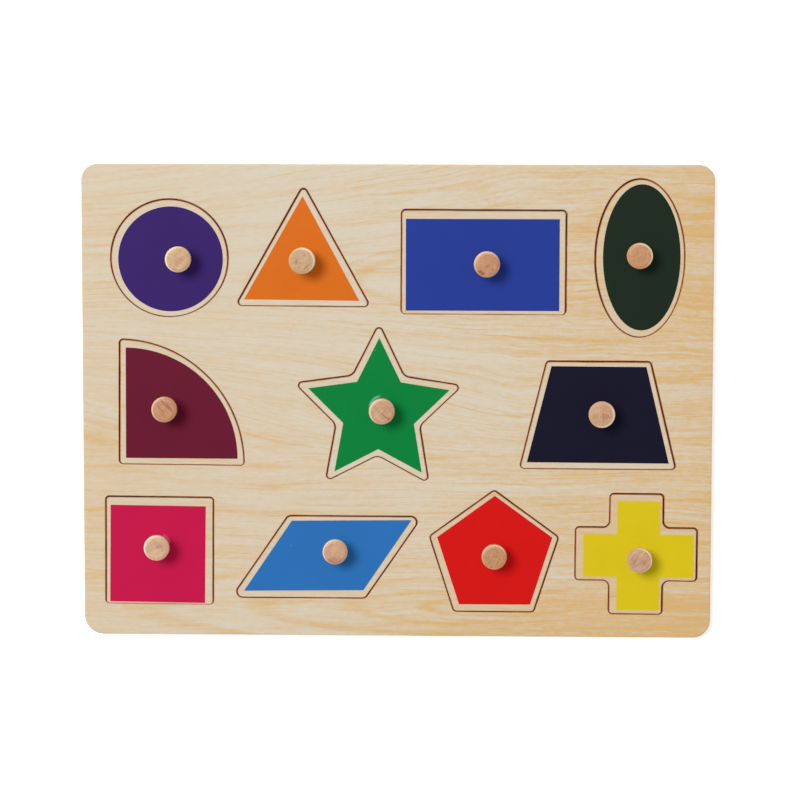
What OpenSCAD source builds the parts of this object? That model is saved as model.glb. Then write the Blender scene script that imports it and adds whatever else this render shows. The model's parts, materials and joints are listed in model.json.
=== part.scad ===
// A peg puzzle: a board of two glued layers, eleven loose shapes that lift out of its cut-outs, and a turned
// knob glued into each shape. Millimetres. The origin is under the middle of the board, on the surface that it
// lies on. +X runs to the right, +Y towards the board's upper edge and +Z up.

/* [Board] */
// Width of the board, left to right
board_w = 300; // [292:1:360]
// Depth of the board, lower edge to upper edge
board_d = 225.5; // [219:0.5:280]
// Radius of the board's four corners
board_corner_r = 8; // [4:0.5:12]
// Thickness of the upper layer, which the shapes are cut from
top_t = 5; // [4:0.5:8]
// Thickness of the backing layer, the floor of the cut-outs
back_t = 3; // [2:0.5:6]
// Round-over of the board's outer edges, above and below
board_edge_r = 0.8; // [0.4:0.1:1.5]

/* [Fit] */
// Gap round a shape that lies in the middle of its cut-out
fit_gap = 0.5; // [0.35:0.05:0.9]
// How far the shapes may have slid in their cut-outs, as a share of that gap
slip_share = 0.7; // [0:0.05:0.8]
// Radius of a shape's outward corners
corner_r = 1.6; // [0.8:0.1:2.4]
// Radius of the cross's inward corners
cross_hollow_r = 3.5; // [1.6:0.1:4.4]
// Radius of the star's inward corners
star_hollow_r = 5; // [2:0.1:5.5]

/* [Print] */
// Bare wooden rim between a shape's edge and its printed colour
print_rim = 2.6; // [1.8:0.1:3.6]
// Thickness of the printed colour
print_t = 0.1; // [0.06:0.02:0.2]

/* [Knob] */
// Diameter of the knob's head
knob_d = 12.1; // [11.5:0.1:15]
// Height of the knob above the printed face
knob_h = 15; // [12:0.5:20]
// Thickness of the knob's head
knob_head_t = 5; // [4:0.2:6.4]
// Radius of the head's rounded edges
knob_edge_r = 1.6; // [0.8:0.1:1.9]
// Diameter of the knob's foot
knob_foot_d = 8; // [7.4:0.1:9.2]
// Thickness of the foot's lip, below the waist
knob_foot_t = 0.8; // [0.4:0.1:1.4]
// Diameter of the waist, at its narrowest
knob_waist_d = 6.6; // [5.8:0.1:7.2]
// Diameter of the tenon that is glued into the shape
tenon_d = 5; // [4:0.1:5.8]
// Gap for the glue all round the tenon
glue_gap = 0.05; // [0.03:0.01:0.1]
// How far the tenon stops short of the shape's underside
tenon_short = 0.5; // [0.2:0.1:1.5]

/* [Shapes] */
// Diameter of the circle
circle_d = 55.3; // [44:0.1:62]
// Width of the triangle's base
triangle_w = 63.4; // [52:0.1:70]
// Height of the triangle
triangle_h = 56.9; // [48:0.1:64]
// Width of the rectangle
rectangle_w = 77.5; // [64:0.1:86]
// Height of the rectangle
rectangle_h = 48.8; // [38:0.1:58]
// Width of the oval
oval_w = 41.8; // [34:0.1:50]
// Height of the oval
oval_h = 74.3; // [60:0.1:79]
// Radius of the quarter circle
quarter_r = 59.2; // [46:0.1:64]
// Distance from the star's middle to its tips, before they are rounded
star_r = 41.5; // [34:0.1:44]
// Distance from the star's middle to its inward corners, as a share of that
star_hollow_share = 0.5; // [0.42:0.01:0.56]
// Width of the trapezoid's lower side
trapezoid_w = 73.8; // [62:0.1:84]
// Width of the trapezoid's upper side
trapezoid_top_w = 48.9; // [38:0.1:58]
// Height of the trapezoid
trapezoid_h = 50.9; // [40:0.1:58]
// Side of the square
square_w = 51.1; // [42:0.1:60]
// Length of the parallelogram's level sides
parallelogram_w = 63.6; // [52:0.1:68]
// Height of the parallelogram
parallelogram_h = 39.1; // [32:0.1:48]
// How far the parallelogram's upper side is set over to the right
parallelogram_lean = 26.9; // [18:0.1:30]
// Distance from the pentagon's middle to its corners, before they are rounded
pentagon_r = 32.1; // [26:0.1:36]
// Width and height of the cross
cross_w = 57.4; // [46:0.1:63]
// Width of the cross's arms
cross_arm_w = 25; // [18:0.1:30]

/* [Hidden] */
SHAPES = ["circle", "triangle", "rectangle", "oval", "quarter", "star", "trapezoid", "square",
          "parallelogram", "pentagon", "cross"];

$fn = 96;
wood = "#ead7b4";
backing_wood = "#d9c096";
knob_wood = "#cda781";
print_colours = ["#3e2a70", "#dc7122", "#2c3d94", "#202d23", "#681c31", "#0f7f3e", "#19182b", "#c31a4a",
                 "#3072b5", "#d11917", "#d5bd1e"];

// The place of each cut-out's own origin, as shares of the board's width and depth from its middle
place_shares = [[-0.3603, 0.3028], [-0.148, 0.3293], [0.1374, 0.2957], [0.3832, 0.305],
                [-0.4412, -0.133], [-0.0295, -0.0203], [0.3197, -0.0264],
                [-0.3787, -0.3189], [-0.1112, -0.3314], [0.1555, -0.3302], [0.3815, -0.3211]];
// How round each shape's outward corners are, and the board's own from the upper right on round to the left,
// as shares of their radii
corner_shares = [1, 1, 1.1, 1, 1, 0.94, 1, 0.93, 1.65, 1.1, 1];
board_corner_shares = [0.89, 0.95, 1.13, 1.05];
// Degrees by which each cut-out and its shape are turned from square with the board
turns = [0, -0.31, -0.19, -0.18, -0.44, -0.67, -0.16, -0.35, -0.04, -0.12, -0.37];
// How far each shape lies off the middle of its cut-out, as shares of the farthest slide
slide_shares = [[0, -0.5], [0.17, -0.5], [-0.3, -0.95], [0.45, -0.4],
                [0.3, -0.65], [0, -0.4], [-0.3, -0.55],
                [0.1, -1], [-0.17, -0.17], [-0.13, -0.06], [-0.4, -0.34]];
// The knob's place on each shape, as shares of the shape's width and height from its own origin
knob_shares = [[0.098, 0.001], [0.003, -0.112], [0.021, -0.002], [-0.019, 0.024],
               [0.380, 0.465], [0.027, 0.017], [0.018, 0.035],
               [-0.001, 0.065], [0.074, 0.114], [0.002, 0.034], [0.020, -0.018]];
// How much wider each knob's head has been turned, as a share of its diameter
spread_shares = [0.013, 0.03, 0.019, 0.008, 0.001, 0.012, 0.032, -0.002, -0.021, -0.014, -0.021];
// How far each print has landed off the middle, as shares of the bare rim
misprint_shares = [[0.21, -0.14], [-0.23, 0.12], [-0.17, -0.4], [0.28, 0.17],
                   [0.08, 0.08], [0.11, -0.08], [0.05, 0.15],
                   [-0.33, -0.57], [0.18, 0.3], [0.14, 0.28], [0.46, -0.3]];
// Degrees by which each print is turned on its shape
print_turns = [0, -0.27, 0.16, 0.12, 0.22, 0.17, -0.12, -0.35, 0.62, 0.19, 0.1];
// How much larger each print is across and up than its rim leaves it, as shares of its size
stretch_shares = [[-0.006, -0.006], [0.005, 0.006], [0.006, -0.003], [-0.001, -0.001],
                  [0.009, -0.001], [-0.007, -0.005], [0.004, 0.006],
                  [-0.006, 0.018], [0, -0.005], [0, 0.002], [0.005, 0.005]];
// How wide the printed arms of the cross are drawn, as a share of the shape's own arms
print_arm_share = 1.018;
sizes = [[circle_d, circle_d], [triangle_w, triangle_h], [rectangle_w, rectangle_h], [oval_w, oval_h],
         [quarter_r, quarter_r], [star_r * 2, star_r * 2], [trapezoid_w, trapezoid_h], [square_w, square_w],
         [parallelogram_w, parallelogram_h], [pentagon_r * 2, pentagon_r * 2], [cross_w, cross_w]];

floor_z = back_t;
face_z = back_t + top_t;
seat_z = face_z + print_t;
slide = fit_gap * slip_share;
overrun = board_edge_r;
// Corner arcs stand proud of the sides by this much, so that they cross them cleanly
arc_proud = 0.01;

// Corners of each straight-sided shape, counter-clockwise and not yet rounded
function box_points(w, h) = [[-w, -h], [w, -h], [w, h], [-w, h]] / 2;
function ring_points(r, count) = [for (i = [0 : count - 1]) r * [-sin(i * 360 / count), cos(i * 360 / count)]];
function star_points(r, hollow, count) =
    [for (i = [0 : count - 1]) for (half = [0, 1])
        let (a = (i + half / 2) * 360 / count, reach = half == 0 ? r : hollow) reach * [-sin(a), cos(a)]];
function cross_points(w, arm) =
    [[-arm, -w], [arm, -w], [arm, -arm], [w, -arm], [w, arm], [arm, arm],
     [arm, w], [-arm, w], [-arm, arm], [-w, arm], [-w, -arm], [-arm, -arm]] / 2;
function corners(i) =
    SHAPES[i] == "triangle" ? [[-triangle_w, -triangle_h], [triangle_w, -triangle_h], [0, triangle_h]] / 2 :
    SHAPES[i] == "rectangle" ? box_points(rectangle_w, rectangle_h) :
    SHAPES[i] == "star" ? star_points(star_r, star_r * star_hollow_share, 5) :
    SHAPES[i] == "trapezoid" ?
        [[-trapezoid_w, -trapezoid_h], [trapezoid_w, -trapezoid_h],
         [trapezoid_top_w, trapezoid_h], [-trapezoid_top_w, trapezoid_h]] / 2 :
    SHAPES[i] == "square" ? box_points(square_w, square_w) :
    SHAPES[i] == "parallelogram" ?
        [for (p = box_points(parallelogram_w, parallelogram_h)) p + [sign(p[1]) * parallelogram_lean / 2, 0]] :
    SHAPES[i] == "pentagon" ? ring_points(pentagon_r, 5) :
    cross_points(cross_w, cross_arm_w);

// Outward normal of the side from a to b, and of the sides before and after corner i
function normal(a, b) = [b[1] - a[1], a[0] - b[0]] / norm(b - a);
function normals(points, i) =
    let (n = len(points), here = points[i])
    [normal(points[(i + n - 1) % n], here), normal(here, points[(i + 1) % n])];
// How far corner i moves when every side moves out by one unit
function mitre(points, i) = let (s = normals(points, i)) (s[0] + s[1]) / (1 + s[0] * s[1]);
function is_outward(points, i) = cross(normals(points, i)[0], normals(points, i)[1]) > 0;
function grown(points, by) = [for (i = [0 : len(points) - 1]) points[i] + by * mitre(points, i)];
// Signed radius of corner i, the middle of its arc, and the two points where the arc meets the sides
function bend(points, i, outward_r, hollow_r) = is_outward(points, i) ? outward_r : -hollow_r;
function arc_middle(points, i, r) = points[i] - r * mitre(points, i);
function arc_ends(points, i, by, r) =
    [for (side = normals(points, i)) arc_middle(points, i, r) + (r + by) * side];

// A straight-sided outline with rounded corners, every side moved out by the same distance
module rounded_outline(points, by, outward_r, hollow_r) {
    order = [0 : len(points) - 1];
    radii = [for (i = order) bend(points, i, outward_r, hollow_r)];
    difference() {
        union() {
            polygon([for (i = order) each arc_ends(points, i, by, radii[i])]);
            for (i = order)
                if (radii[i] > 0)
                    translate(arc_middle(points, i, radii[i])) circle(r = radii[i] + by + arc_proud);
        }
        for (i = order)
            if (radii[i] < 0)
                translate(arc_middle(points, i, radii[i])) circle(r = -radii[i] - by + arc_proud);
    }
}

module oval_outline(by) {
    scale([oval_w / 2 + by, oval_h / 2 + by]) circle(r = 1);
}

// A quarter circle with its square corner at the origin and all three corners rounded
module quarter_outline(by) {
    inner_r = quarter_r - corner_r;
    reach = sqrt(inner_r * inner_r - corner_r * corner_r);
    tip = [reach, corner_r] * (quarter_r + by) / inner_r;
    turned_tip = [tip[1], tip[0]];
    far = [quarter_r + by, quarter_r + by];
    polygon([[corner_r, -by], [reach, -by], tip, turned_tip, [-by, reach], [-by, corner_r]]);
    intersection() {
        circle(r = quarter_r + by);
        polygon([[corner_r, corner_r], tip, far, turned_tip]);
    }
    for (middle = [[corner_r, corner_r], [reach, corner_r], [corner_r, reach]])
        translate(middle) circle(r = corner_r + by + arc_proud);
}

// Edge of shape i, or of its cut-out where the sides are moved out by the gap
module outline(i, by) {
    if (SHAPES[i] == "circle") circle(d = circle_d + 2 * by);
    else if (SHAPES[i] == "oval") oval_outline(by);
    else if (SHAPES[i] == "quarter") quarter_outline(by);
    else
        rounded_outline(corners(i), by, corner_r * corner_shares[i],
                        SHAPES[i] == "star" ? star_hollow_r : cross_hollow_r);
}

// Edge of the printed colour, which keeps its sharp corners
module print_outline(i) {
    if (SHAPES[i] == "circle") circle(d = circle_d - 2 * print_rim);
    else if (SHAPES[i] == "oval") oval_outline(-print_rim);
    else if (SHAPES[i] == "quarter")
        translate([print_rim, print_rim])
            intersection() {
                circle(r = quarter_r - (1 + sqrt(2)) * print_rim);
                square(quarter_r);
            }
    else if (SHAPES[i] == "cross")
        polygon(grown(cross_points(cross_w, cross_arm_w * print_arm_share), -print_rim));
    else polygon(grown(corners(i), -print_rim));
}

module at_cutout(i) {
    translate([board_w * place_shares[i][0], board_d * place_shares[i][1]]) rotate(turns[i]) children();
}

// Where shape i lies, with its print and its knob
module at_shape(i) {
    translate(slide * slide_shares[i]) at_cutout(i) children();
}

module at_knob(i) {
    translate([sizes[i][0] * knob_shares[i][0], sizes[i][1] * knob_shares[i][1]]) children();
}

// Sides of the board, from the upper one round to the left: the length of each, the radius of the corner at its
// right-hand end once it is turned up, and the middle of that corner's arc
SIDES = [0 : 3];
function along(side) = side % 2 == 0 ? board_w : board_d;
function board_r(side) = board_corner_r * board_corner_shares[side % len(board_corner_shares)];
function corner_middle(side) = [along(side) / 2 - board_r(side), along(side + 1) / 2 - board_r(side)];

// The board's outline as a plate, with its edges still square
module plate(t) {
    linear_extrude(t)
        difference() {
            square([board_w, board_d], center = true);
            for (side = SIDES)
                rotate(side * 90)
                    translate(corner_middle(side))
                        difference() {
                            square(board_r(side) + overrun);
                            circle(r = board_r(side));
                        }
        }
}

// What a round-over takes off a square edge, drawn from the middle of its arc
module round_over_profile() {
    difference() {
        square(board_edge_r + overrun);
        circle(r = board_edge_r);
    }
}

// What the round-over takes off all round the top edge of a plate whose top is at height 0
module round_over() {
    translate([0, 0, -board_edge_r])
        for (side = SIDES)
            rotate(side * 90) {
                translate([board_r(side + 1) - along(side) / 2, along(side + 1) / 2 - board_edge_r])
                    rotate([90, 0, 90])
                        linear_extrude(along(side) - board_r(side) - board_r(side + 1)) round_over_profile();
                translate(corner_middle(side))
                    rotate_extrude(angle = 90)
                        translate([board_r(side) - board_edge_r, 0]) round_over_profile();
            }
}

module tray_top() {
    color(wood)
    difference() {
        translate([0, 0, floor_z]) plate(top_t);
        translate([0, 0, face_z]) round_over();
        for (i = [0 : len(SHAPES) - 1])
            translate([0, 0, floor_z - overrun])
                linear_extrude(top_t + 2 * overrun) at_cutout(i) outline(i, fit_gap);
    }
}

module tray_back() {
    color(backing_wood)
    difference() {
        plate(back_t);
        mirror([0, 0, 1]) round_over();
    }
}

module piece(i) {
    color(wood)
    at_shape(i)
        translate([0, 0, floor_z])
            difference() {
                linear_extrude(top_t) outline(i, 0);
                at_knob(i)
                    translate([0, 0, -overrun]) cylinder(h = top_t + 2 * overrun, d = tenon_d + 2 * glue_gap);
            }
}

module print(i) {
    color(print_colours[i])
    at_shape(i)
        translate([0, 0, face_z])
            difference() {
                linear_extrude(print_t)
                    translate(misprint_shares[i] * print_rim)
                        rotate(print_turns[i]) scale([1, 1] + stretch_shares[i]) print_outline(i);
                at_knob(i)
                    translate([0, 0, -overrun]) cylinder(h = print_t + 2 * overrun, d = tenon_d + 2 * glue_gap);
            }
}

// Half of the knob's outline, from the tenon's end up to the head
module knob_profile(head_r) {
    head_z = knob_h - knob_head_t;
    head_core_r = head_r - knob_edge_r;
    tenon_h = top_t + print_t - tenon_short;
    waist_h = head_z - knob_foot_t;
    waist_depth = (knob_foot_d - knob_waist_d) / 2;
    waist_r = (waist_h * waist_h / 4 + waist_depth * waist_depth) / (2 * waist_depth);
    translate([0, head_z]) square([head_core_r, knob_head_t]);
    translate([0, head_z + knob_edge_r]) square([head_r, knob_head_t - 2 * knob_edge_r]);
    for (z = [head_z + knob_edge_r, knob_h - knob_edge_r])
        translate([head_core_r, z]) circle(r = knob_edge_r);
    difference() {
        square([knob_foot_d / 2, head_z]);
        translate([knob_waist_d / 2 + waist_r, knob_foot_t + waist_h / 2]) circle(r = waist_r);
    }
    translate([0, -tenon_h]) square([tenon_d / 2, tenon_h]);
}

module knob(i) {
    color(knob_wood)
    at_shape(i)
        at_knob(i)
            translate([0, 0, seat_z]) rotate_extrude() knob_profile(knob_d / 2 * (1 + spread_shares[i]));
}

tray_top();
tray_back();
for (i = [0 : len(SHAPES) - 1]) {
    piece(i);
    print(i);
    knob(i);
}
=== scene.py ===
"""A wooden peg puzzle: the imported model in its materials, on a pale studio floor, seen from above.

Lengths in the scene are metres. The materials work in millimetres, from the model's own origin.
"""
import json
import math

import bmesh
import bpy
from mathutils import Euler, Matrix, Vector

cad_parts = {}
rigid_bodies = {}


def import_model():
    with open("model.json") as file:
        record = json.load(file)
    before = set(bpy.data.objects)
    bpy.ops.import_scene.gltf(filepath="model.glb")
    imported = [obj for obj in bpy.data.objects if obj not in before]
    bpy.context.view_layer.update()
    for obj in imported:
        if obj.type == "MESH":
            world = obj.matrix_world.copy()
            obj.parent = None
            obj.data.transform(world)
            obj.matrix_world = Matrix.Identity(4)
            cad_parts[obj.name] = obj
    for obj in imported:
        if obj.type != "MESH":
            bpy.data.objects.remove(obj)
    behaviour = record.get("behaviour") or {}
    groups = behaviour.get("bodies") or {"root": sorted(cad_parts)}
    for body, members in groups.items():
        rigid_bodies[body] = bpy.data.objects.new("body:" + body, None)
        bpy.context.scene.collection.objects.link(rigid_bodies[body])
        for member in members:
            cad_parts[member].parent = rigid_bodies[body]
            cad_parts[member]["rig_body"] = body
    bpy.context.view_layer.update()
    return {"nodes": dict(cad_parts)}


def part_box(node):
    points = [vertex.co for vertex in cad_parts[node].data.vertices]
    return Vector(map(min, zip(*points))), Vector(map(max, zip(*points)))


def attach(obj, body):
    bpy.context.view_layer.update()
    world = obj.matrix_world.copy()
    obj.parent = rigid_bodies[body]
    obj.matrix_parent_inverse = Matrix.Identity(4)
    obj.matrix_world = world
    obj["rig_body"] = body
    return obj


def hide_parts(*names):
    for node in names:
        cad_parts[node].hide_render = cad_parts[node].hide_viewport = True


for old in list(bpy.data.objects):
    bpy.data.objects.remove(old)

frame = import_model()
nodes = frame["nodes"]

MM = 0.001
SHAPES = ("circle", "triangle", "rectangle", "oval", "quarter", "star", "trapezoid", "square",
          "parallelogram", "pentagon", "cross")

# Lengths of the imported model, in millimetres: the heights of the cut-outs' floor and of the face, and half
# the board's width and depth
FLOOR_OF_CUTOUTS = 3.0
FACE = 8.0
HALF_W, HALF_D = 150.0, 112.75

# How bright a perfectly white, level surface is, and the key light's share of that
LIGHT_LEVEL = 1.15
KEY_SHARE = 0.55


def albedo(*rgb):
    """The finish that shows as these 8-bit values under the scene's light."""
    shares = [v / 255 for v in rgb]
    linear = [s / 12.92 if s <= 0.04045 else ((s + 0.055) / 1.055) ** 2.4 for s in shares]
    return tuple(c / LIGHT_LEVEL for c in linear) + (1.0,)


# ---- writing shaders as formulas ----


class Field:
    """A value that varies over a surface. Arithmetic on it makes the nodes."""

    def __init__(self, net, socket):
        self.net, self.socket = net, socket

    def __add__(self, other):
        return self.net.math("ADD", self, other)

    def __sub__(self, other):
        return self.net.math("SUBTRACT", self, other)

    def __rsub__(self, other):
        return self.net.math("SUBTRACT", other, self)

    def __mul__(self, other):
        return self.net.math("MULTIPLY", self, other)

    def __truediv__(self, other):
        return self.net.math("DIVIDE", self, other)

    def __pow__(self, other):
        return self.net.math("POWER", self, other)

    def __gt__(self, other):
        return self.net.math("GREATER_THAN", self, other)

    __radd__, __rmul__ = __add__, __mul__


class Net:
    """One material and its nodes."""

    def __init__(self, name):
        self.material = bpy.data.materials.new(name)
        self.material.use_nodes = True
        self.tree = self.material.node_tree
        self.tree.nodes.clear()
        place = self.node("TexCoord").outputs["Object"]
        scaled = self.node("VectorMath", {"operation": "SCALE"}, Vector=place, Scale=1 / MM).outputs[0]
        parts = self.node("SeparateXYZ", Vector=scaled).outputs
        self.x, self.y, self.z = (Field(self, p) for p in parts)
        facing = self.node("SeparateXYZ", Vector=self.node("NewGeometry").outputs["Normal"]).outputs
        self.north, self.up = Field(self, facing[1]), Field(self, facing[2])

    def node(self, kind, settings=(), **inputs):
        n = self.tree.nodes.new("ShaderNode" + kind)
        for key, value in dict(settings).items():
            setattr(n, key, value)
        for key, value in inputs.items():
            self.put(n.inputs[key.replace("_", " ")], value)
        return n

    def put(self, socket, value):
        if isinstance(value, Field):
            value = value.socket
        if isinstance(value, bpy.types.NodeSocket):
            self.tree.links.new(value, socket)
        else:
            socket.default_value = value

    def math(self, operation, *values):
        n = self.node("Math", {"operation": operation})
        for socket, value in zip(n.inputs, values):
            self.put(socket, value)
        return Field(self, n.outputs[0])

    def hypot(self, a, b):
        return self.math("SQRT", a * a + b * b)

    def point(self, x, y, z=0.0):
        return self.node("CombineXYZ", X=x, Y=y, Z=z).outputs[0]

    def noise(self, point, detail=2.0, roughness=0.5):
        """Clouds about 0, mostly between -0.5 and 0.5."""
        n = self.node("TexNoise", Vector=point, Scale=1.0, Detail=detail, Roughness=roughness)
        return Field(self, n.outputs[0]) - 0.5

    def dice(self, value, seed):
        """A random number from 0 to 1 for each whole number."""
        n = self.node("TexWhiteNoise", {"noise_dimensions": "2D"}, Vector=self.point(value, seed))
        return Field(self, n.outputs["Value"])

    def rise(self, value, low, high, smooth=True):
        """0 below low, 1 above high."""
        n = self.node("MapRange", {"interpolation_type": "SMOOTHSTEP" if smooth else "LINEAR"})
        for socket, v in zip(n.inputs, (value, low, high, 0.0, 1.0)):
            self.put(socket, v)
        return Field(self, n.outputs[0])

    def curve(self, value, points):
        """A smooth curve through (place, height) points."""
        n = self.node("ValToRGB", Fac=value)
        ramp = n.color_ramp
        ramp.interpolation = "EASE"
        while len(ramp.elements) < len(points):
            ramp.elements.new(0.5)
        for element, (place, height) in zip(ramp.elements, points):
            element.position = place
            element.color = (height, height, height, 1.0)
        return Field(self, n.outputs[0])

    def mix(self, share, a, b):
        n = self.node("Mix", {"data_type": "RGBA", "clamp_factor": True})
        for socket, value in zip((n.inputs[0], n.inputs[6], n.inputs[7]), (share, a, b)):
            self.put(socket, value)
        return n.outputs[2]

    def lighten(self, colour, by):
        """The colour times 1 + by."""
        if isinstance(colour, tuple):
            colour = colour[:3]
        n = self.node("VectorMath", {"operation": "SCALE"}, Vector=colour, Scale=by + 1.0)
        return n.outputs[0]

    def surface(self, colour, roughness, height=None, depth=0.0, **sockets):
        """The finish. Its relief is height times depth, in millimetres."""
        shader = self.node("BsdfPrincipled", Base_Color=colour, Roughness=roughness, **sockets)
        if height is not None:
            bump = self.node("Bump", Strength=1.0, Distance=depth * MM, Height=height)
            self.put(shader.inputs["Normal"], bump.outputs[0])
        self.put(self.node("OutputMaterial").inputs["Surface"], shader.outputs[0])
        return self.material


# ---- finishes ----

PALE = albedo(219, 208, 187)
HONEY = albedo(218, 178, 117)
# The burnt walls of a cut, and its rims, where the smoke has stained the face
CHAR, SINGED = albedo(126, 68, 32), albedo(184, 120, 66)
RIM_CHAR, RIM_SINGED = albedo(144, 62, 12), albedo(200, 112, 40)
STAIN = albedo(160, 94, 56)
PLY_DARK = albedo(176, 136, 92)
PLY_LIGHT = albedo(214, 186, 142)

# The two hearts of the wood, in millimetres: the upper one's place at the middle and its slope, the lower
# one's place, and how softly the rings of one pass into the other's
UPPER_HEART, UPPER_SLOPE = 57.5, 0.03
LOWER_HEART = -98.9
MEETING = 14.0
# The usual width of a ring
RING = 4.6
# The broad tips of single rings: their depth from the heart, and half their width
LOWER_TIPS = ((4.8, 0.9), (9.0, 1.2), (14.2, 1.4), (20.5, 1.5))
UPPER_TIP = (25.0, 1.1)


def rings(net, x, y, seed):
    """How deep a point of a plain-sawn face lies in its growth rings. Two hearts run along the board, one
    above its middle and one close to its lower edge, and the rings close in arches that point to the left."""
    sway = net.noise(net.point(x * 0.007, y * 0.016, seed))
    shiver = net.noise(net.point(x * 0.03, y * 0.14, seed + 7.0))
    y = y + sway * 11.0 + shiver * 1.6
    upper = net.hypot(y - UPPER_HEART - x * UPPER_SLOPE, net.math("MAXIMUM", 22.5 - x * 0.13, 1.0))
    lower = net.hypot(y - LOWER_HEART, net.math("MAXIMUM", 6.5 - x * 0.118, 1.0))
    return net.math("SMOOTH_MIN", upper, lower, MEETING)


def grain(net, x, y, seed):
    """(honey, fibres) of a face that runs along x: how far it has gone from pale to honey in its rings and
    lines, and the fine streaks of its fibres."""
    depth = rings(net, x, y, seed)
    # The fibres follow the rings only loosely: they fan out a little to the left of the upper heart
    spread = net.math("MAXIMUM", x * -0.0035, -0.2)
    fan = net.rise(y, -40.0, 10.0) * (y - UPPER_HEART - x * UPPER_SLOPE) * spread
    sway = net.noise(net.point(x * 0.014, y * 0.02, seed + 5.0))
    lie = y + fan + sway * 9.0
    # Bundles of fibres, single honey threads where two bundles part, and the finest streaks
    bundles = net.noise(net.point(x * 0.005, lie * 0.10, seed), detail=6.0, roughness=0.95)
    crossing = net.noise(net.point(x * 0.006, lie * 0.28, seed + 6.0))
    thread = 1.0 - net.rise(net.math("ABSOLUTE", crossing), 0.0, 0.045, smooth=False)
    sparse = net.noise(net.point(x * 0.012, lie * 0.10, seed + 8.0), detail=3.0, roughness=0.7)
    where = net.rise(sparse, -0.2, 0.2)
    fibres = net.noise(net.point(x * 0.045, lie * 1.5, seed), detail=4.0, roughness=0.8)
    # The dark end of each ring: some rings have a strong line, and most lines come and go
    count = depth / RING + net.noise(net.point(depth * 0.16, seed), detail=1.0) * 2.2
    within = net.math("FRACT", count)
    line = net.curve(within, [(0.0, 0.0), (0.62, 0.05), (0.84, 0.4), (0.93, 1.0), (1.0, 0.1)])
    weight = net.dice(net.math("FLOOR", count), seed) ** 1.6
    patchy = net.rise(net.noise(net.point(x * 0.02, y * 0.05, seed + 3.0)), -0.25, 0.25)
    # The lines are strongest to the right of the lower heart
    strong = net.rise(x, 20.0, 110.0) * net.rise(y * -1.0, 10.0, 60.0) * 0.6 + 0.6

    def tip(place, half_width):
        return 1.0 - net.rise(net.math("ABSOLUTE", depth - place), 0.0, half_width)

    before = 1.0 - net.rise(x, 20.0, 60.0)
    lower = sum(tip(*each) for each in LOWER_TIPS) * net.rise(y * -1.0, 68.0, 86.0)
    arches = (lower + tip(*UPPER_TIP) * net.rise(y, 30.0, 40.0)) * before
    honey = bundles * 2.45 + line * weight * patchy * strong + thread * where * 0.62 + fibres * 1.3
    return honey + arches * 0.38 - 0.03, fibres


# How far each loose shape's wood has gone from pale to honey, in the order of SHAPES
WARMTH = (0.22, 0.08, 0.31, 0.43, 0.26, 0.12, 0.26, 0.27, 0.23, 0.40, 0.52)


def face_colour(net, x, y, seed, warmth):
    """(colour, fibres) of a planed, pale wooden face. The board's warmth is None, since it varies over it."""
    honey, fibres = grain(net, x, y, seed)
    mottle = net.noise(net.point(x * 0.25, y * 0.5, seed + 11.0), detail=3.0, roughness=0.7)
    honey = honey + mottle * 0.9
    if warmth is None:
        # It is warmer to the right, and a little so at the left edge, low down, left of the middle and along
        # the lower edge. Its figure is also bolder on the right.
        right = net.rise(x, 0.0, 170.0, smooth=False) * (net.rise(y, -10.0, 40.0) * 0.32 + 0.38)
        left = net.rise(x * -1.0, 60.0, 150.0)
        low = net.rise(y * -1.0, 5.0, 60.0)
        near_middle = 1.0 - net.rise(net.math("ABSOLUTE", y + 22.0), 20.0, 50.0)
        patch = net.rise(x * -1.0, -20.0, 60.0) * near_middle
        brim = net.rise(y * -1.0, 78.0, 108.0) * net.rise(x, -60.0, 60.0)
        honey = honey * (net.rise(x, -120.0, 120.0) * 0.44 + 0.78)
        honey = honey + right + left * 0.13 + low * 0.12 + patch * 0.12 + brim * 0.3 + 0.1
    else:
        honey = honey * 0.6 + warmth
    colour = net.mix(honey, PALE, HONEY)
    return net.lighten(colour, fibres * 0.04), fibres


# In millimetres: the height of one pale and one dark ply together, and how far inside the board's full width
# and depth its outer walls lie at the most, where the corners are round
PLIES = 3.34
OUTER_WALL = 2.9


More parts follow.
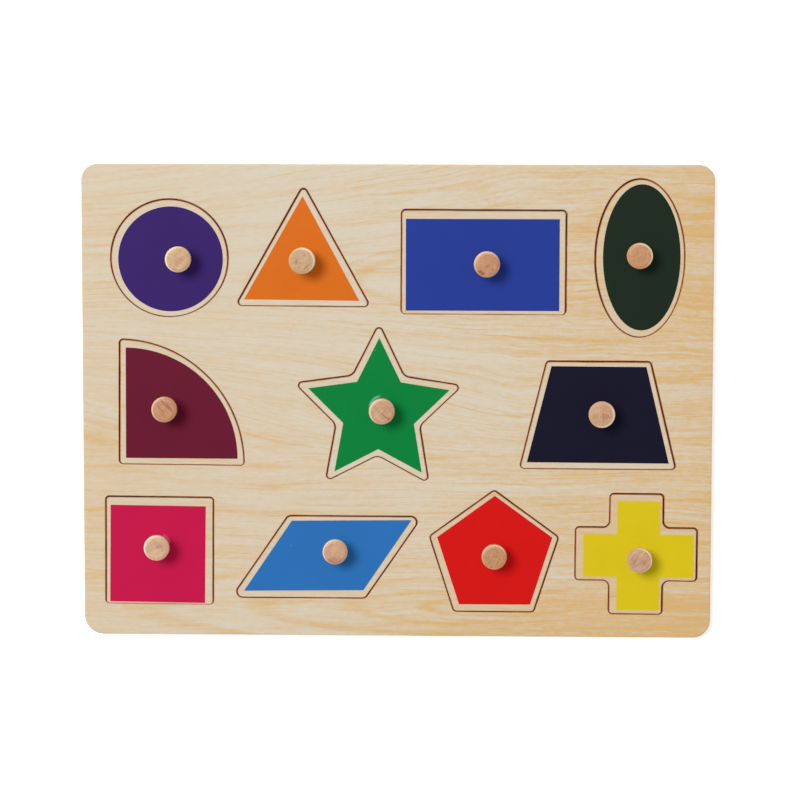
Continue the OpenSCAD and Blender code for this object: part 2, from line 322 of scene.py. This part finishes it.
def board_finish(name, kind):
    """Board layers and loose shapes. kind is "top", "back" or a number, which sets that shape's own grain."""
    net = Net(name)
    loose = not isinstance(kind, str)
    if loose:
        seed, warmth = 20.0 + 5.0 * kind, WARMTH[kind]
        x, y = net.x + 31.0 * kind, net.y + 4.7 * kind
    else:
        seed, warmth = 3.0, None
        x, y = net.x, net.y
    colour, fibres = face_colour(net, x, y, seed, warmth)
    # Sawn edges: the plies show as bands, and the long fibres of one ply are end grain in the next
    band = net.curve(net.math("FRACT", net.z / PLIES), [(0.0, 0.75), (0.46, 0.8), (0.54, 0.2), (1.0, 0.25)])
    along = net.x + net.y
    rough_cut = net.noise(net.point(along * 0.35, net.z * 1.1, seed), detail=5.0, roughness=0.7)
    ply = net.lighten(net.mix(band, PLY_DARK, PLY_LIGHT), rough_cut * 0.35)
    scorch = net.noise(net.point(net.x * 0.06, net.y * 0.06, seed + 2.0), detail=4.0, roughness=0.6)
    patches = net.rise(scorch, -0.22, 0.22)
    burnt = net.mix(patches, CHAR, SINGED)
    # The walls on the upper side of each gap are mixed towards pale ply: painted light against the shade in
    # those gaps
    upper_gap_light = net.rise(net.north * (1.0 if loose else -1.0), 0.2, 0.9)
    burnt_wall = net.mix(upper_gap_light * 0.4, burnt, PLY_LIGHT)
    if loose:
        wall = burnt_wall
    else:
        out = net.math("MAXIMUM", net.math("ABSOLUTE", net.x) - HALF_W, net.math("ABSOLUTE", net.y) - HALF_D)
        wall = net.mix(out > -OUTER_WALL, burnt_wall, ply)
    # 1 on the faces, 0 on the walls
    level = net.rise(net.math("ABSOLUTE", net.up), 0.1, 0.4)
    if kind != "back":
        # The cut has singed the rims of the face as well. The layer "edge" makes that singe paler at the
        # lower and upper sides of each gap, which is painted light.
        rim = Field(net, net.node("Attribute", {"attribute_name": "edge"}).outputs["Fac"])
        singe = 1.0 - net.rise(rim + scorch * 0.2, 0.12, 0.44)
        colour = net.mix(singe * 0.85, colour, net.mix(patches, RIM_CHAR, RIM_SINGED))
    colour = net.mix(level, wall, colour)
    height = fibres * 0.5 + rough_cut * 0.5 * (1.0 - level)
    return net.surface(colour, fibres * 0.12 + 0.55, height, 0.05, Specular_IOR_Level=0.2)


INKS = {"circle": (57, 32, 106), "triangle": (220, 111, 25), "rectangle": (37, 60, 150), "oval": (28, 42, 31),
        "quarter": (105, 20, 47), "star": (2, 129, 59), "trapezoid": (21, 19, 40), "square": (199, 18, 73),
        "parallelogram": (43, 113, 184), "pentagon": (214, 19, 16), "cross": (219, 196, 25)}

# Where glue has been squeezed out round the knob and dried on the ink: distance from the knob's middle in
# millimetres, direction in degrees, and colour
GLUE = {"star": (6.2, 136, (126, 204, 166)), "square": (4.7, 36, (218, 96, 126))}

# Dust on the ink: its colour, how many places for a speck there are along a millimetre, a speck's radius as a
# share of its place's width, and the share of the places that stay clean
DUST = albedo(200, 190, 170)
DUST_PLACES, DUST_SIZE, CLEAN_PLACES = 0.12, 0.022, 0.72


def from_knob(net, name):
    """(x, y) of a point from the middle of this shape's knob, in millimetres."""
    low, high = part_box(name + "_knob")
    middle = (low + high) / 2 / MM
    return net.x - middle.x, net.y - middle.y


def ink_finish(name, index):
    """Screen ink: even and slightly glossy, with the wood's fibres just felt through it and a little dust."""
    net = Net(name + "_ink")
    seed = 40.0 + 3.0 * index
    fibres = net.noise(net.point(net.x * 0.04, net.y * 1.6, seed), detail=4.0, roughness=0.6)
    mottle = net.noise(net.point(net.x * 0.06, net.y * 0.06, seed + 1.0), detail=3.0)
    colour = net.lighten(albedo(*INKS[name]), mottle * 0.10 + fibres * 0.05)
    if name in GLUE:
        distance, degrees, rgb = GLUE[name]
        x, y = from_knob(net, name)
        turn = net.math("ARCTAN2", y, x) - math.radians(degrees)
        band = 1.0 - net.rise(net.math("ABSOLUTE", net.hypot(x, y) + mottle * 0.8 - distance), 0.3, 0.9)
        piece = 1.0 - net.rise(net.math("ABSOLUTE", turn + mottle * 0.3), 0.35, 0.75)
        colour = net.mix(band * piece * 0.6, colour, albedo(*rgb))
    cells = net.node("TexVoronoi", Vector=net.point(net.x, net.y, seed), Scale=DUST_PLACES)
    near = net.math("LESS_THAN", Field(net, cells.outputs["Distance"]), DUST_SIZE)
    picked = Field(net, net.node("SeparateColor", Color=cells.outputs["Color"]).outputs[0]) > CLEAN_PLACES
    colour = net.mix(near * picked * 0.45, colour, DUST)
    return net.surface(colour, fibres * 0.1 + 0.45, fibres + mottle * 0.3, 0.02, Specular_IOR_Level=0.06)


# Colour of each knob's end grain, the direction in which its rings run and the one in which its rim carries a
# painted highlight, both in degrees, and its own marks. A mark is its place, length and width in millimetres,
# its direction in degrees, and how much browner (below 0) or paler the wood is there.
KNOBS = {
    "circle": ((213, 176, 134), 60, 165, (
        (0.4, -1.2, 4.4, 3.4, 10, -0.07), (-2.6, 2.2, 2.6, 2.0, 45, 0.05))),
    "triangle": ((205, 170, 126), 20, 30, (
        (0.1, 0.0, 0.9, 0.8, 0, 0.22), (2.4, -2.6, 3.2, 0.8, 45, -0.2), (-2.6, -0.4, 2.2, 0.7, 80, -0.16),
        (1.2, 2.6, 1.0, 0.6, 20, -0.2), (-1.2, -3.2, 0.9, 0.6, 0, -0.2), (3.4, 0.6, 0.8, 0.6, 60, -0.2))),
    "rectangle": ((199, 147, 106), 80, 125, (
        (-2.9, -3.4, 1.5, 1.1, -20, -0.42), (-2.0, -4.3, 1.3, 0.9, 20, -0.36), (2.7, -2.4, 0.9, 0.8, 0, -0.3),
        (0.4, -0.7, 1.3, 0.9, 30, -0.2), (1.8, -4.1, 0.9, 0.6, 0, -0.2), (-3.2, 1.6, 2.2, 3.4, 0, 0.14),
        (1.8, 1.0, 3.0, 2.8, 0, -0.05))),
    "oval": ((202, 151, 104), 10, 25, (
        (0.0, 0.4, 0.8, 0.7, 0, 0.2), (-1.4, 1.6, 2.6, 0.5, 60, -0.12), (2.0, -1.6, 2.4, 0.5, 70, -0.1),
        (0.8, -1.0, 3.6, 2.6, 30, -0.05))),
    "quarter": ((199, 144, 102), 45, 165, (
        (0.2, 2.7, 4.2, 0.8, -52, -0.24), (2.6, 1.2, 4.2, 0.9, -55, -0.26), (-1.6, 0.4, 4.6, 0.7, -50, -0.16),
        (0.4, -3.0, 3.6, 0.6, -25, -0.14), (-3.8, -0.6, 2.0, 2.6, 0, 0.1))),
    "star": ((205, 163, 124), -40, 160, (
        (1.6, -2.2, 3.2, 0.5, -46, -0.26), (0.2, 0.6, 1.4, 0.7, 45, 0.16), (-2.4, -2.0, 2.6, 2.2, -60, 0.12),
        (2.4, 1.2, 3.0, 2.6, 60, -0.07), (3.2, -3.0, 1.2, 0.6, -40, -0.3))),
    "trapezoid": ((206, 165, 127), 0, -30, (
        (0.4, 0.4, 0.6, 0.5, 0, -0.3), (1.7, -0.9, 2.8, 2.4, 0, -0.14), (-0.6, 0.2, 1.3, 0.8, 40, 0.1),
        (-2.2, 2.4, 3.0, 2.2, 40, 0.08))),
    "square": ((215, 180, 143), 30, 150, (
        (1.5, 1.2, 3.4, 2.2, -20, -0.1), (-0.6, -3.0, 4.2, 2.2, 5, 0.09))),
    "parallelogram": ((208, 167, 131), 70, 150, (
        (0.0, -4.0, 5.2, 2.4, 0, -0.16), (-0.8, 1.2, 3.4, 2.2, 20, 0.07))),
    "pentagon": ((199, 147, 102), -20, 100, (
        (-1.5, 1.0, 0.7, 0.6, 0, 0.18), (0.8, 0.2, 0.5, 0.5, 0, -0.2), (1.8, -2.2, 3.0, 0.7, 60, -0.14),
        (-2.4, -2.6, 1.6, 0.9, 20, -0.1), (1.6, 2.6, 1.4, 0.8, -30, -0.1))),
    "cross": ((206, 164, 128), -50, 20, (
        (1.0, 2.8, 3.4, 0.7, 55, 0.2), (-1.8, 0.6, 3.6, 0.7, 60, -0.14), (0.4, -3.4, 3.8, 1.4, 10, 0.1),
        (2.6, -0.4, 2.6, 0.7, 50, -0.13), (-0.2, -1.6, 2.2, 0.7, 40, -0.1)))}


# In millimetres: the width of a knob's rings, how far their heart lies from its middle, where its rim starts,
# and the width over which it does
KNOB_RING, KNOB_HEART = 1.7, 26.0
KNOB_RIM, KNOB_RIM_BLUR = 5.35, 0.5
# How much lighter than the end grain, in 8-bit values, a knob's side is, and its rim at its painted highlight
SIDE_GAIN, RIM_HIGHLIGHT_GAIN = (10, 10, 10), (32, 48, 62)


def turned(x, y, degrees):
    """The place as seen along axes that are turned by this angle."""
    a = math.radians(degrees)
    return x * math.cos(a) + y * math.sin(a), y * math.cos(a) - x * math.sin(a)


def knob_finish(name, index):
    """Turned beech: rings, rays and marks on the end grain, long fibres on the sides, and a paler, burnished
    rim that carries a painted highlight on one side."""
    net = Net(name + "_beech")
    seed = 70.0 + 4.0 * index
    rgb, turn, highlight_side, marks = KNOBS[name]
    x, y = from_knob(net, name)
    across, along = turned(x, y, turn)
    bend = net.noise(net.point(along * 0.08, across * 0.08, seed))
    depth = net.hypot(across + KNOB_HEART + bend * 4.0, along)
    within = net.math("FRACT", depth / KNOB_RING)
    ring = net.curve(within, [(0.0, 0.1), (0.5, 0.2), (0.85, 0.9), (0.95, 0.5), (1.0, 0.1)])
    flecks = net.noise(net.point(across * 0.7, along * 2.6, seed), detail=4.0, roughness=0.7)
    pores = net.noise(net.point(x * 2.2, y * 2.2, net.z * 0.25 + seed), detail=4.0, roughness=0.75)
    angle = net.math("ARCTAN2", y, x)
    fibres = net.noise(net.point(angle * 7.0, net.z * 0.09, seed), detail=4.0, roughness=0.6)
    clouds = net.noise(net.point(across * 0.22, along * 0.5, seed + 1.0), detail=3.0, roughness=0.6)
    shade = flecks * 0.30 + pores * 0.30
    stain = ring * 0.2 + flecks * 1.0 + clouds * 1.0 + 0.12
    for place_x, place_y, length, width, degrees, amount in marks:
        u, v = turned(x - place_x, y - place_y, degrees)
        far = net.hypot(u / length, v / width) + pores * 0.5
        here = 1.0 - net.rise(far, 0.35, 1.0)
        if amount > 0:
            shade = shade + here * amount
        else:
            stain = stain + here * (-2.4 * amount)
    # The burnished rim reaches furthest in on one side, where a painted highlight makes it lightest
    lit = net.rise(net.math("COSINE", angle - math.radians(highlight_side)), -0.5, 0.9)
    radius = net.hypot(x, y)
    brim = net.rise(radius + pores * 0.6 + lit * 0.35, KNOB_RIM, KNOB_RIM + KNOB_RIM_BLUR)
    end = net.rise(net.up, 0.4, 0.7) * (1.0 - brim)
    dull, pale = (albedo(*(v + gain for v, gain in zip(rgb, gains))) for gains in (SIDE_GAIN, RIM_HIGHLIGHT_GAIN))
    top = net.lighten(net.mix(stain, albedo(*rgb), STAIN), shade)
    side = net.lighten(net.mix(lit * net.rise(net.up, -0.1, 0.3), dull, pale), fibres * 0.12)
    colour = net.mix(end, side, top)
    # The fine grooves that the lathe's tool has left
    lathe = net.math("SINE", radius * 9.0)
    height = pores * 0.6 + lathe * 0.15 + fibres * 0.4
    return net.surface(colour, pores * 0.15 + 0.42, height, 0.06, Specular_IOR_Level=0.45)


def link(name, data):
    made = bpy.data.objects.new(name, data)
    bpy.context.scene.collection.objects.link(made)
    return made


def dress(node, material):
    for slot in nodes[node].material_slots:
        slot.material = material


# ---- eased edges ----

# In millimetres: the radius of the rims of the board's cut-outs and of the loose shapes
BOARD_RIM, PIECE_RIM = 0.2, 0.25
# In millimetres: how far the charred lip of a cut stands proud of its wall, and how much further it does on
# the upper sides of some loose shapes
LIP = 0.06
UPPER_LIP = {"rectangle": 0.16, "quarter": 0.20, "star": 0.10, "square": 0.20, "trapezoid": 0.04}
# In millimetres below the face: where the lip starts to stand out of the wall, and where it has its full
# width
LIP_FOOT, LIP_TOP = 1.0, 0.4
# Where a face starts behind its rim, and where it is out of the smoke's reach: in millimetres from the rim,
# and as the values of the layer "edge". On the round rim itself that value grows with the angle.
NEAR_RIM, NEAR = 0.25, 0.5
FAR_RIM, FAR = 0.9, 1.2
EDGE_BY_ANGLE = 0.12
# How much is added to those values on the lower sides and on the upper ones, and for each millimetre of lip.
# This is painted light: it makes the singe paler in the lit lower gaps and in the shade of the upper ones.
LOWER_SIDE_LIGHT, UPPER_SIDE_LIGHT, LIP_SIDE_LIGHT = 0.13, 0.05, 0.5
# Where points are one point, in metres
SAME = 1e-6
# The longest shift of a corner's point, for a unit shift of its sides
MITRE = 2.0
# Edges sharper than this, in radians, stay sharp
CREASE = 0.6


def level_with(verts, level):
    return all(abs(v.co.z - level) < SAME for v in verts)


def rim_loops(bm, level):
    """The closed loops of open edges at this height, each as its vertices in order."""
    open_edges = [e for e in bm.edges if e.is_boundary and level_with(e.verts, level)]
    left = set(open_edges)
    loops = []
    for edge in open_edges:
        if edge not in left:
            continue
        left.remove(edge)
        loop = list(edge.verts)
        while loop[-1] is not loop[0]:
            edge = next(e for e in loop[-1].link_edges if e in left)
            left.remove(edge)
            loop.append(edge.other_vert(loop[-1]))
        loops.append(loop[:-1])
    return loops


def area(loop):
    """The area inside a loop, below 0 where it runs clockwise."""
    return sum(a.co.x * b.co.y - b.co.x * a.co.y for a, b in zip(loop, loop[1:] + loop[:1])) / 2


def away(loop, inwards):
    """For each vertex, the shift that takes it to the parallel loop at unit distance."""
    turn = 1.0 if (area(loop) > 0) == inwards else -1.0
    found = []
    for before, here, after in zip(loop[-1:] + loop[:-1], loop, loop[1:] + loop[:1]):
        one = (here.co - before.co).xy.normalized()
        two = (after.co - here.co).xy.normalized()
        across = Vector((-one.y, one.x))
        middle = (across + Vector((-two.y, two.x))).normalized()
        found.append(middle * (turn / max(1 / MITRE, middle.dot(across))))
    return found


def profile(radius, facing):
    """The steps of a rounded rim, from its wall to its face. Each step: how far in it lies, the share of the
    lip that it has, how far down it lies, and its value in the layer "edge"."""
    lipped = facing > 0
    steps = [(radius * (1 - math.cos(a)), math.cos(a) * lipped, radius * (1 - math.sin(a)), EDGE_BY_ANGLE * a)
             for a in map(math.radians, (0, 30, 60, 90))]
    if lipped:
        steps = [(0.0, 0.0, LIP_FOOT, 0.0), (0.0, 1.0, LIP_TOP, 0.0)] + steps
    return steps + [(radius + NEAR_RIM, 0.0, 0.0, NEAR), (radius + FAR_RIM, 0.0, 0.0, FAR)]


def eased(node, name, rims, upper_lip=0.0):
    """A copy of the node whose rims are rounded off. Each rim is its height, 1 or -1 for a face that looks up
    or down, the radius in millimetres, and whether it is the outermost loop or the others that are rounded.
    The upper rims keep the thin charred lip that the cut has left. The layer "edge" holds roughly how far a
    point of the face is from the cut, in millimetres, raised on the lower and upper sides of each gap so that
    the singe there is paler, which is painted light."""
    bm = bmesh.new()
    bm.from_mesh(nodes[node].data)
    bmesh.ops.remove_doubles(bm, verts=bm.verts, dist=SAME)
    edge_layer = bm.verts.layers.float.new("edge")
    for v in bm.verts:
        v[edge_layer] = FAR
    for height, facing, radius, outermost in rims:
        level = height * MM
        flat = [f for f in bm.faces if abs(f.normal.z) > 0.99 and level_with(f.verts, level)]
        bmesh.ops.delete(bm, geom=flat, context="FACES")
        loops = rim_loops(bm, level)
        widest = max(loops, key=lambda l: abs(area(l)))
        last_edges = []
        for loop in loops:
            if (loop is widest) == outermost:
                shifts = away(loop, loop is widest)
                (_, _, first_drop, _), *steps = profile(radius, facing)
                places = [v.co.copy() for v in loop]
                for v in loop:
                    v.co.z = level - facing * first_drop * MM
                    v[edge_layer] = 0.0
                for shift, share, drop, value in steps:
                    fresh = []
                    for place, direction in zip(places, shifts):
                        # Above 0 on the lower sides of a loose shape or a cut-out, below 0 on the upper ones
                        side = direction.y if outermost else -direction.y
                        lip = LIP + upper_lip * max(0.0, -side)
                        offset = direction * ((shift - share * lip) * MM)
                        v = bm.verts.new((place.x + offset.x, place.y + offset.y, level - facing * drop * MM))
                        # The singe is painted paler at the lower and upper sides of each gap: painted light
                        upper_side_light = UPPER_SIDE_LIGHT + LIP_SIDE_LIGHT * upper_lip
                        v[edge_layer] = value + max(LOWER_SIDE_LIGHT * side, -upper_side_light * side)
                        fresh.append(v)
                    for i in range(len(loop)):
                        bm.faces.new((loop[i - 1], loop[i], fresh[i], fresh[i - 1]))
                    loop = fresh
            else:
                for v in loop:
                    v[edge_layer] = FAR
            last_edges += [bm.edges.get((loop[i - 1], loop[i])) for i in range(len(loop))]
        bmesh.ops.triangle_fill(bm, use_beauty=True, edges=last_edges, normal=(0.0, 0.0, float(facing)))
    bmesh.ops.recalc_face_normals(bm, faces=bm.faces)
    for f in bm.faces:
        f.smooth = True
    for e in bm.edges:
        e.smooth = not e.is_manifold or e.calc_face_angle() < CREASE
    mesh = bpy.data.meshes.new(name)
    bm.to_mesh(mesh)
    bm.free()
    made = link(name, mesh)
    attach(made, nodes[node]["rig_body"])
    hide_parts(node)
    return made


top = eased("tray_top", "tray_top_eased", [(FACE, 1, BOARD_RIM, False)])
top.data.materials.append(board_finish("board_wood_finish", "top"))
dress("tray_back", board_finish("backing_wood_finish", "back"))
for index, shape in enumerate(SHAPES):
    plate = eased(shape + "_piece", shape + "_piece_eased",
                  [(FACE, 1, PIECE_RIM, True), (FLOOR_OF_CUTOUTS, -1, PIECE_RIM, True)],
                  UPPER_LIP.get(shape, 0.0))
    plate.data.materials.append(board_finish(shape + "_wood_finish", index))
    dress(shape + "_print", ink_finish(shape, index))
    dress(shape + "_knob", knob_finish(shape, index))


# ---- studio ----

# In metres: the floor's size and how far it lies below the board, so that the two faces don't coincide
FLOOR_SIZE, FLOOR_DROP = 12.0, 0.00002
FLOOR_WHITE = (0.92, 0.92, 0.92, 1.0)
# How brightly the floor shines of its own, so that it shows as white paper
FLOOR_GLOW = 0.45
# The even light from all round: its share of the usual strength at the horizon and straight above
HORIZON_SHARE, ZENITH_SHARE = 1.9, 0.55
# The key light: where it stands, in degrees and metres, and its width
KEY_ELEVATION, KEY_AZIMUTH, KEY_DISTANCE, KEY_WIDTH = 66.5, 139.0, 4.5, 1.65
# The camera's place in metres, its tilt in degrees, and its lens and sensor in millimetres
CAMERA_PLACE = (0.0458, 0.1371, 1.4289)
CAMERA_TILT = (5.475, -1.773, -0.253)
LENS, SENSOR = 135.0, 36.0
WHITE = (1.0, 1.0, 1.0, 1.0)


def lay_floor():
    bpy.ops.mesh.primitive_plane_add(size=FLOOR_SIZE, location=(0.0, 0.0, -FLOOR_DROP))
    floor = bpy.context.object
    floor.name = "studio_floor"
    net = Net("studio_floor_finish")
    cloud = net.noise(net.point(net.x * 0.004, net.y * 0.004), detail=3.0)
    colour = net.lighten(FLOOR_WHITE, cloud * 0.01)
    floor.data.materials.append(net.surface(colour, 0.9, Specular_IOR_Level=0.1, Emission_Color=WHITE,
                                            Emission_Strength=FLOOR_GLOW))


def surround():
    """A white surrounding that is brighter at the horizon than above."""
    world = bpy.data.worlds.new("studio_world")
    bpy.context.scene.world = world
    world.use_nodes = True
    tree = world.node_tree
    sky = tree.nodes["Background"]
    sky.inputs["Color"].default_value = WHITE
    place = tree.nodes.new("ShaderNodeTexCoord").outputs["Generated"]
    apart = tree.nodes.new("ShaderNodeSeparateXYZ")
    tree.links.new(place, apart.inputs[0])
    fall = tree.nodes.new("ShaderNodeMapRange")
    fill = LIGHT_LEVEL * (1 - KEY_SHARE)
    for socket, value in zip(fall.inputs[1:5], (0.0, 1.0, fill * HORIZON_SHARE, fill * ZENITH_SHARE)):
        socket.default_value = value
    tree.links.new(apart.outputs[2], fall.inputs[0])
    tree.links.new(fall.outputs[0], sky.inputs["Strength"])


def hang_key_light():
    """A round lamp whose strength gives a level surface its share of the light."""
    elevation, azimuth = math.radians(KEY_ELEVATION), math.radians(KEY_AZIMUTH)
    towards = Vector((math.cos(elevation) * math.cos(azimuth), math.cos(elevation) * math.sin(azimuth),
                      math.sin(elevation)))
    data = bpy.data.lights.new("key_light", "AREA")
    data.shape = "DISK"
    data.size = KEY_WIDTH
    data.energy = LIGHT_LEVEL * KEY_SHARE * math.pi ** 2 * KEY_DISTANCE ** 2 / math.sin(elevation)
    key = link("key_light", data)
    key.location = towards * KEY_DISTANCE
    key.rotation_euler = towards.to_track_quat("Z", "Y").to_euler()


def set_camera():
    lens = bpy.data.cameras.new("camera")
    lens.lens, lens.sensor_width = LENS, SENSOR
    lens.clip_start = 0.01
    camera = link("camera", lens)
    camera.location = CAMERA_PLACE
    # The tilt is the scene's as the camera sees it, so the camera's own is the inverse
    tilt = Euler([math.radians(degrees) for degrees in CAMERA_TILT], "XYZ")
    camera.rotation_euler = tilt.to_matrix().transposed().to_euler()
    bpy.context.scene.camera = camera
    bpy.context.scene.view_settings.view_transform = "Standard"


lay_floor()
surround()
hang_key_light()
set_camera()
